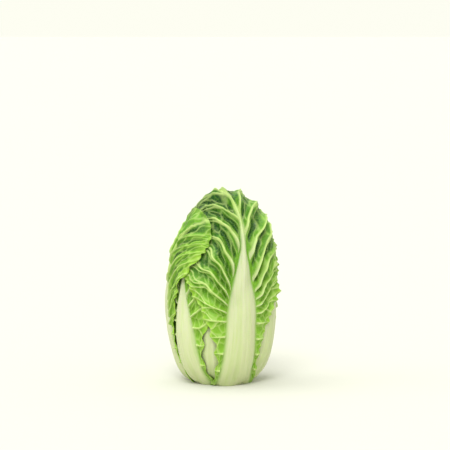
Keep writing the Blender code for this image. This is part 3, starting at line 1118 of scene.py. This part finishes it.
class Nodes:
    """A small writer of shader nodes."""

    def __init__(self, name: str) -> None:
        """Make a material with an empty Principled shader.

        Args:
            name: The material's name.
        """
        self.material = bpy.data.materials.new(name)
        self.material.use_nodes = True
        self.tree = self.material.node_tree
        self.shader = self.tree.nodes["Principled BSDF"]

    def node(self, kind: str, **inputs: object) -> bpy.types.Node:
        """Add a node, and set or link its inputs.

        Args:
            kind: Blender's name of the node.
            **inputs: Values or sockets, by the input's name.

        Returns:
            The new node.
        """
        made = self.tree.nodes.new(kind)
        for key, value in inputs.items():
            self.feed(made.inputs[key.replace("_", " ")], value)
        return made

    def feed(self, socket: bpy.types.NodeSocket, value: object) -> None:
        """Link a socket, or set its value.

        Args:
            socket: The input.
            value: Another node's output, or a plain value.
        """
        if isinstance(value, bpy.types.NodeSocket):
            self.tree.links.new(value, socket)
        else:
            socket.default_value = value

    def attribute(self, name: str) -> bpy.types.NodeSocket:
        """Read a value stored at the mesh's points.

        Args:
            name: The attribute's name.

        Returns:
            The value.
        """
        made = self.node("ShaderNodeAttribute")
        made.attribute_name = name
        return made.outputs["Fac"]

    def math(self, operation: str, a: object, b: object = 0.0) -> bpy.types.NodeSocket:
        """Combine two values.

        Args:
            operation: Blender's name of the operation.
            a: The first value.
            b: The second value.

        Returns:
            The result.
        """
        made = self.tree.nodes.new("ShaderNodeMath")
        made.operation = operation
        self.feed(made.inputs[0], a)
        self.feed(made.inputs[1], b)
        return made.outputs[0]

    def ramp(self, value: object, span: Span) -> bpy.types.NodeSocket:
        """Carry a value smoothly from one range to another.

        Args:
            value: The value.
            span: Where it starts and stops changing, and what is given there.

        Returns:
            The result.
        """
        made = self.tree.nodes.new("ShaderNodeMapRange")
        made.interpolation_type = "SMOOTHSTEP"
        for socket, given in zip(made.inputs, (value, *span)):
            self.feed(socket, given)
        return made.outputs[0]

    def mix(self, factor: object, a: object, b: object) -> bpy.types.NodeSocket:
        """Mix two colours.

        Args:
            factor: 0 for the first colour, 1 for the second.
            a: The first colour.
            b: The second colour.

        Returns:
            The mixed colour.
        """
        made = self.tree.nodes.new("ShaderNodeMix")
        made.data_type = "RGBA"
        self.feed(made.inputs[0], factor)
        self.feed(made.inputs[6], a if isinstance(a, bpy.types.NodeSocket) else (*a, 1.0))
        self.feed(made.inputs[7], b if isinstance(b, bpy.types.NodeSocket) else (*b, 1.0))
        return made.outputs[2]

    def noise(self, place: bpy.types.NodeSocket, scale: float, detail: float = 3.0) -> bpy.types.NodeSocket:
        """Read soft noise at a place."""
        made = self.node("ShaderNodeTexNoise", Vector=place, Scale=scale, Detail=detail)
        return made.outputs["Fac"]

    def flat_place(self, stretch: float = 1.0) -> bpy.types.NodeSocket:
        """The place on the flat leaf, squeezed along it by stretch."""
        along = self.math("DIVIDE", self.attribute("flat_y"), stretch)
        made = self.node("ShaderNodeCombineXYZ", X=self.attribute("flat_x"), Y=along)
        return made.outputs[0]

    def place(self) -> bpy.types.NodeSocket:
        """The place in space."""
        return self.node("ShaderNodeNewGeometry").outputs["Position"]

    def height(self) -> bpy.types.NodeSocket:
        """The height over the floor."""
        return self.node("ShaderNodeSeparateXYZ", Vector=self.place()).outputs["Z"]

    def bump(self, height: bpy.types.NodeSocket, distance: float, strength: float) -> None:
        """Roughen the shader's surface."""
        made = self.node("ShaderNodeBump", Height=height, Distance=distance, Strength=strength)
        self.feed(self.shader.inputs["Normal"], made.outputs[0])


@dataclass(frozen=True)
class LeafFinish:
    """Waxy cabbage leaf: cream rib, pale veins, a pale to deep green blade, and painted shade in its pits,
    valleys and tips.
    """

    rib_low: Colour = (0.58, 0.63, 0.35)
    rib_high: Colour = (0.55, 0.58, 0.39)
    streak: Colour = (0.45, 0.56, 0.22)
    vein: Colour = (0.46, 0.60, 0.19)
    pale: Colour = (0.205, 0.42, 0.028)
    middle: Colour = (0.115, 0.295, 0.015)
    deep: Colour = (0.022, 0.120, 0.008)
    # Painted shade: a near-black green laid into the valleys between the side veins and over the deepest
    # green at the tips.
    shade: Colour = (0.005, 0.044, 0.005)
    edge: Colour = (0.31, 0.53, 0.045)
    cut: Colour = (0.70, 0.73, 0.48)
    cloud_scale: float = 55.0
    cloud_strength: float = 0.45
    # Painted shade on one side: the blade is darkened left of its rib and lightened right of it, from partway
    # along to the tip.
    painted_side_shade: Span = (0.4, 0.65, 0.0, 4.0)
    pale_to_middle: Span = (0.28, 0.56, 0.0, 1.0)
    middle_to_deep: Span = (0.56, 0.92, 0.0, 1.0)
    # Painted shade over the deepest green: at the tips, and left of the rib.
    deep_to_shade: Span = (0.76, 0.96, 0.0, 0.9)
    upper_blade: Span = (0.35, 0.7, 0.15, 1.0)
    # Painted shade in the sunk pits of the net, mostly on the upper blade.
    pit_depth: Span = (0.35, 1.0, 0.0, 0.42)
    # Painted shade in the valleys between the side veins, weaker towards the margin.
    valley_painted_shade: Span = (0.4, 0.95, 0.0, 0.92)
    valley_reach: Span = (0.3, 1.0, 1.0, 0.45)
    rim_width: Span = (0.78, 1.0, 0.0, 0.8)
    rim_length: Span = (0.8, 0.95, 1.0, 0.3)
    net_scale: float = 300.0
    net_lines: Span = (0.0, 0.12, 0.3, 0.0)
    twig_strength: float = 0.36
    vein_width: Span = (0.1, 0.6, 0.0, 0.9)
    vein_length: Span = (0.7, 0.95, 1.0, 0.4)
    rib_low_to_high: Span = (0.08, 0.62, 0.0, 1.0)
    rib_to_vein: Span = (0.6, 0.8, 0.0, 1.0)
    rib_length: Span = (0.7, 0.95, 1.0, 0.75)
    band_scale: float = 170.0
    band_stretch: float = 30.0
    bands: Span = (0.42, 0.7, 0.0, 0.45)
    streak_scale: float = 620.0
    streak_stretch: float = 14.0
    streaks: Span = (0.42, 0.72, 0.0, 0.35)
    cut_face: Span = (0.1 * MM, 0.4 * MM, 1.0, 0.0)
    speck_scale: float = 420.0
    speck_relief: float = 0.4
    streak_relief: float = 0.6
    relief: float = 0.5 * MM
    relief_strength: float = 0.6
    roughness: Span = (0.3, 0.7, 0.40, 0.56)
    gloss: float = 0.24
    glow: float = 0.12
    glow_radius: Colour = (0.6, 1.0, 0.25)
    glow_depth: float = 2 * MM

    def ripe_and_shaded(self, nodes: Nodes, ripeness: float) -> bpy.types.NodeSocket:
        """Ripen the blade towards its tip, unevenly, and add painted shade that darkens it left of the rib
        and lightens it right of it.

        Args:
            nodes: The material under construction.
            ripeness: How much deeper the leaf's green is, negative for a paler leaf.

        Returns:
            0 where the green is palest, 1 where it is deepest.
        """
        along = nodes.attribute("along")
        clouds = nodes.math("SUBTRACT", nodes.noise(nodes.flat_place(), self.cloud_scale), 0.5)
        ripe_and_shaded = nodes.math("ADD", along, nodes.math("MULTIPLY", clouds, self.cloud_strength))
        # Painted shade: darker left of the rib, lighter right of it.
        side_shade = nodes.math("MULTIPLY", nodes.attribute("flat_x"), nodes.ramp(along, self.painted_side_shade))
        return nodes.math("ADD", nodes.math("SUBTRACT", ripe_and_shaded, side_shade), ripeness)

    def blade(self, nodes: Nodes, ripeness: float) -> bpy.types.NodeSocket:
        """Colour the blade: riper towards the tip, with painted shade in its pits and valleys, at its tips
        and left of its rib, and pale on its veins.

        Args:
            nodes: The material under construction.
            ripeness: How much deeper the leaf's green is, negative for a paler leaf.

        Returns:
            The blade's colour.
        """
        along, outward, pit = nodes.attribute("along"), nodes.attribute("outward"), nodes.attribute("pit")
        ripe_and_shaded = self.ripe_and_shaded(nodes, ripeness)
        colour = nodes.mix(nodes.ramp(ripe_and_shaded, self.pale_to_middle), self.pale, self.middle)
        colour = nodes.mix(nodes.ramp(ripe_and_shaded, self.middle_to_deep), colour, self.deep)
        high = nodes.ramp(along, self.upper_blade)
        # Painted shade: the sunk pits of the net go deeper green.
        pit = nodes.math("MULTIPLY", nodes.ramp(pit, self.pit_depth), high)
        colour = nodes.mix(pit, colour, self.deep)
        # Painted shade over the deepest green: at the tips, and left of the rib.
        colour = nodes.mix(nodes.ramp(ripe_and_shaded, self.deep_to_shade), colour, self.shade)
        # Painted shade in the valleys between the side veins.
        valley = nodes.ramp(nodes.attribute("valley"), self.valley_painted_shade)
        valley = nodes.math("MULTIPLY", valley, nodes.ramp(outward, self.valley_reach))
        colour = nodes.mix(nodes.math("MULTIPLY", valley, high), colour, self.shade)
        rim = nodes.math("MULTIPLY", nodes.ramp(outward, self.rim_width), nodes.ramp(along, self.rim_length))
        colour = nodes.mix(rim, colour, self.edge)
        return self.veined(nodes, colour)

    def veined(self, nodes: Nodes, colour: bpy.types.NodeSocket) -> bpy.types.NodeSocket:
        """Draw the veins over the blade, from the finest to the side veins.

        Args:
            nodes: The material under construction.
            colour: The blade's colour between them.

        Returns:
            The blade's colour with them.
        """
        net = nodes.node("ShaderNodeTexVoronoi", Vector=nodes.flat_place(), Scale=self.net_scale)
        net.feature = "DISTANCE_TO_EDGE"
        colour = nodes.mix(nodes.ramp(net.outputs["Distance"], self.net_lines), colour, self.pale)
        twig = nodes.math("MULTIPLY", nodes.attribute("twig"), self.twig_strength)
        colour = nodes.mix(twig, colour, self.vein)
        veins = nodes.ramp(nodes.attribute("vein"), self.vein_width)
        veins = nodes.math("MULTIPLY", veins, nodes.ramp(nodes.attribute("along"), self.vein_length))
        return nodes.mix(veins, colour, self.vein)

    def bone(self, nodes: Nodes, streaks: bpy.types.NodeSocket) -> bpy.types.NodeSocket:
        """Colour the midrib, streaked along its length.

        Args:
            nodes: The material under construction.
            streaks: The noise of its fine streaks.

        Returns:
            The midrib's colour.
        """
        along = nodes.attribute("along")
        bone = nodes.mix(nodes.ramp(along, self.rib_low_to_high), self.rib_low, self.rib_high)
        bands = nodes.noise(nodes.flat_place(self.band_stretch), self.band_scale, 1.0)
        bone = nodes.mix(nodes.ramp(bands, self.bands), bone, self.streak)
        bone = nodes.mix(nodes.ramp(streaks, self.streaks), bone, self.streak)
        return nodes.mix(nodes.ramp(along, self.rib_to_vein), bone, self.vein)

    def material(self, name: str, ripeness: float) -> bpy.types.Material:
        """Make the finish for one leaf.

        Args:
            name: The material's name.
            ripeness: How much deeper its green is, negative for a paler leaf.

        Returns:
            The material.
        """
        nodes = Nodes(name)
        streaks = nodes.noise(nodes.flat_place(self.streak_stretch), self.streak_scale)
        specks = nodes.noise(nodes.flat_place(), self.speck_scale)
        rib = nodes.ramp(nodes.attribute("along"), self.rib_length)
        rib = nodes.math("MULTIPLY", nodes.attribute("rib"), rib)
        colour = nodes.mix(rib, self.blade(nodes, ripeness), self.bone(nodes, streaks))
        cut = nodes.ramp(nodes.height(), self.cut_face)
        nodes.feed(nodes.shader.inputs["Base Color"], nodes.mix(cut, colour, self.cut))
        nodes.feed(nodes.shader.inputs["Roughness"], nodes.ramp(specks, self.roughness))
        relief = nodes.math("MULTIPLY", streaks, nodes.math("MULTIPLY", rib, self.streak_relief))
        relief = nodes.math("ADD", relief, nodes.math("MULTIPLY", specks, self.speck_relief))
        nodes.bump(relief, self.relief, self.relief_strength)
        nodes.shader.inputs["Specular IOR Level"].default_value = self.gloss
        nodes.shader.inputs["Subsurface Weight"].default_value = self.glow
        nodes.shader.inputs["Subsurface Radius"].default_value = self.glow_radius
        nodes.shader.inputs["Subsurface Scale"].default_value = self.glow_depth
        return nodes.material


@dataclass(frozen=True)
class HeartFinish:
    """Young leaf, closed and blanched."""

    groove: Colour = (0.30, 0.45, 0.10)
    crown: Colour = (0.50, 0.62, 0.20)
    body: Colour = (0.76, 0.80, 0.48)
    body_to_crown: Span = (0.10, 0.23, 0.0, 1.0)
    mottle_scale: float = 60.0
    mottle: Span = (0.55, 0.8, 0.0, 0.5)
    grain_scale: float = 500.0
    grain: float = 0.4 * MM
    grain_strength: float = 0.5
    roughness: float = 0.5

    def material(self) -> bpy.types.Material:
        """Make the finish.

        Returns:
            The material.
        """
        nodes = Nodes("blanched_heart")
        place = nodes.place()
        colour = nodes.mix(nodes.ramp(nodes.height(), self.body_to_crown), self.body, self.crown)
        mottle = nodes.ramp(nodes.noise(place, self.mottle_scale), self.mottle)
        nodes.feed(nodes.shader.inputs["Base Color"], nodes.mix(mottle, colour, self.groove))
        nodes.bump(nodes.noise(place, self.grain_scale), self.grain, self.grain_strength)
        nodes.shader.inputs["Roughness"].default_value = self.roughness
        return nodes.material


@dataclass(frozen=True)
class StemFinish:
    """Freshly cut stem: pale, with a fibrous ring and a little browning."""

    pith: Colour = (0.84, 0.85, 0.66)
    ring: Colour = (0.62, 0.60, 0.36)
    dried: Colour = (0.42, 0.31, 0.16)
    ring_inside: Span = (13 * MM, 15.5 * MM, 0.0, 1.0)
    ring_outside: Span = (16.5 * MM, 18 * MM, 1.0, 0.0)
    ring_sway: float = 3 * MM
    blotch_scale: float = 130.0
    blotches: Span = (0.55, 0.85, 0.0, 0.55)
    grain_scale: float = 900.0
    grain: float = 0.4 * MM
    grain_strength: float = 0.6
    roughness: float = 0.65

    def material(self) -> bpy.types.Material:
        """Make the finish.

        Returns:
            The material.
        """
        nodes = Nodes("cut_stem")
        place = nodes.place()
        flat = nodes.node("ShaderNodeVectorMath", Vector=place)
        flat.operation = "MULTIPLY"
        flat.inputs[1].default_value = (1.0, 1.0, 0.0)
        away = nodes.node("ShaderNodeVectorMath")
        away.operation = "LENGTH"
        nodes.feed(away.inputs[0], flat.outputs[0])
        blotches = nodes.noise(place, self.blotch_scale)
        sway = nodes.math("MULTIPLY", blotches, self.ring_sway)
        away = nodes.math("ADD", away.outputs["Value"], sway)
        ring = nodes.math("MULTIPLY", nodes.ramp(away, self.ring_inside), nodes.ramp(away, self.ring_outside))
        colour = nodes.mix(ring, self.pith, self.ring)
        colour = nodes.mix(nodes.ramp(blotches, self.blotches), colour, self.dried)
        nodes.feed(nodes.shader.inputs["Base Color"], colour)
        nodes.bump(nodes.noise(place, self.grain_scale), self.grain, self.grain_strength)
        nodes.shader.inputs["Roughness"].default_value = self.roughness
        return nodes.material


class Light(Enum):
    """The studio's soft lamps: where each comes from, how wide it looks in degrees, and its strength."""

    KEY = ((-0.15, -1.0, 1.15), 26.0, 1.85)
    TOP = ((-0.2, 0.1, 1.0), 45.0, 1.0)
    RIM = ((-1.6, -0.1, 0.9), 40.0, 0.32)


@dataclass
class Studio:
    """Pale floor, soft light, and the camera at the photograph's angle."""

    floor_colour: Colour = (0.600, 0.600, 0.550)
    air_colour: Colour = (1.0, 1.0, 0.895)
    air_strength: float = 0.99
    floor_size: float = 400.0
    floor_roughness: float = 0.9
    floor_gloss: float = 0.1
    sensor: float = 36.0
    distance: float = 3.0
    elevation: float = 5.0
    view_height: float = 0.611
    aim: tuple[float, float, float] = (4.7 * MM, 0.0, 213 * MM)

    def build(self) -> None:
        """Make the floor, the air, the lamps and the camera."""
        self.lay_floor()
        self.light_air()
        for lamp in Light:
            self.hang(lamp)
        self.stand_camera()

    def lay_floor(self) -> None:
        """Lay the plain pale floor."""
        half = self.floor_size / 2
        mesh = bpy.data.meshes.new("floor_mesh")
        corners = [(-half, -half, 0), (half, -half, 0), (half, half, 0), (-half, half, 0)]
        mesh.from_pydata(corners, [], [(0, 1, 2, 3)])
        floor = bpy.data.objects.new("floor", mesh)
        bpy.context.scene.collection.objects.link(floor)
        nodes = Nodes("floor_paper")
        nodes.shader.inputs["Base Color"].default_value = (*self.floor_colour, 1.0)
        nodes.shader.inputs["Roughness"].default_value = self.floor_roughness
        nodes.shader.inputs["Specular IOR Level"].default_value = self.floor_gloss
        mesh.materials.append(nodes.material)

    def light_air(self) -> None:
        """Light everything evenly from all round."""
        scene = bpy.context.scene
        scene.world = scene.world or bpy.data.worlds.new("air")
        scene.world.use_nodes = True
        air = scene.world.node_tree.nodes["Background"]
        air.inputs["Color"].default_value = (*self.air_colour, 1.0)
        air.inputs["Strength"].default_value = self.air_strength
        scene.view_settings.view_transform = "Standard"

    def hang(self, lamp: Light) -> None:
        """Hang one lamp, facing the head.

        Args:
            lamp: Which one.
        """
        way, width, strength = lamp.value
        data = bpy.data.lights.new(f"{lamp.name.lower()}_light", "SUN")
        data.angle = radians(width)
        data.energy = strength
        made = bpy.data.objects.new(data.name, data)
        made.location = way
        made.rotation_euler = (-Vector(way)).to_track_quat("-Z", "Y").to_euler()
        bpy.context.scene.collection.objects.link(made)

    def stand_camera(self) -> None:
        """Stand the camera in front, a little above level."""
        tilt = radians(self.elevation)
        data = bpy.data.cameras.new("camera")
        data.sensor_width = self.sensor
        data.lens = data.sensor_width * self.distance / self.view_height
        camera = bpy.data.objects.new("camera", data)
        aim = Vector(self.aim)
        camera.location = aim + self.distance * Vector((0, -cos(tilt), sin(tilt)))
        camera.rotation_euler = (aim - camera.location).to_track_quat("-Z", "Y").to_euler()
        bpy.context.scene.collection.objects.link(camera)
        bpy.context.scene.camera = camera


@dataclass
class Cabbage:
    """The whole head, built from the heart outwards."""

    first_azimuth: float = -113.5
    golden_angle: float = 137.5
    barrel: Barrel = field(default_factory=Barrel)
    form: LeafForm = field(default_factory=LeafForm)
    stem: Stem = field(default_factory=Stem)

    def leaves(self) -> list[WrapperLeaf]:
        """List the wrapper leaves from the outermost in, each a golden angle on from the last.

        Returns:
            The leaves.
        """
        # A turn past the golden angle, then a WrapperLeaf's values from its length to its detail.
        sizes = (
            (5, 276 * MM, 52 * MM, 31, 198 * MM, 49 * MM, 1.3, 0.6, 0 * MM, -0.42, 10),
            (0, 346 * MM, 88 * MM, 37, 234 * MM, -22 * MM, 6, 1.1, 9 * MM, -0.035, 10),
            (0, 306 * MM, 88 * MM, 31, 220 * MM, 0 * MM, 1, 0.9, 4 * MM, 0.0, 8),
            (10, 306 * MM, 84 * MM, 27, 188 * MM, 0 * MM, 1, 0.9, 4 * MM, -0.08, 8),
            (0, 290 * MM, 82 * MM, 21, 220 * MM, 0 * MM, 1, 1.0, 4 * MM, -0.04, 8),
            (0, 288 * MM, 80 * MM, 19, 210 * MM, 0 * MM, 1, 1.2, 9 * MM, 0.03, 8),
            (0, 278 * MM, 74 * MM, 19, 210 * MM, 0 * MM, 1, 1.0, 4 * MM, -0.08, 7),
            (0, 276 * MM, 74 * MM, 17, 210 * MM, 0 * MM, 1, 1.0, 4 * MM, -0.08, 7),
        )
        leaves = []
        for i, (turn, *rest) in enumerate(sizes):
            azimuth = self.first_azimuth + self.golden_angle * i + turn
            leaves.append(WrapperLeaf(i + 1, azimuth, *rest, self.barrel, self.form))
        return leaves

    def build(self) -> None:
        """Build every piece."""
        self.stem.build(StemFinish().material())
        points, faces = Heart(self.barrel, self.stem).build(HeartFinish().material())
        corners = [tuple(dict.fromkeys(face)) for face in faces.tolist()]
        placed = points.tolist()
        finish = LeafFinish()
        leaves = self.leaves()
        for i in reversed(range(len(leaves))):
            tree = BVHTree.FromPolygons(placed, corners)
            builder = LeafBuilder(leaves[i], leaves[i + 1 :], leaves[:i])
            material = finish.material(f"waxy_{leaves[i].name}", leaves[i].ripeness)
            outer, quads = builder.build(tree, material)
            corners += [tuple(dict.fromkeys(quad)) for quad in (quads + len(placed)).tolist()]
            placed += outer.tolist()


def main() -> None:
    """Build the studio and the cabbage."""
    logging.basicConfig(level=logging.INFO, format="%(message)s")
    Studio().build()
    Cabbage().build()
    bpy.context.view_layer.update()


if __name__ == "__main__":
    main()
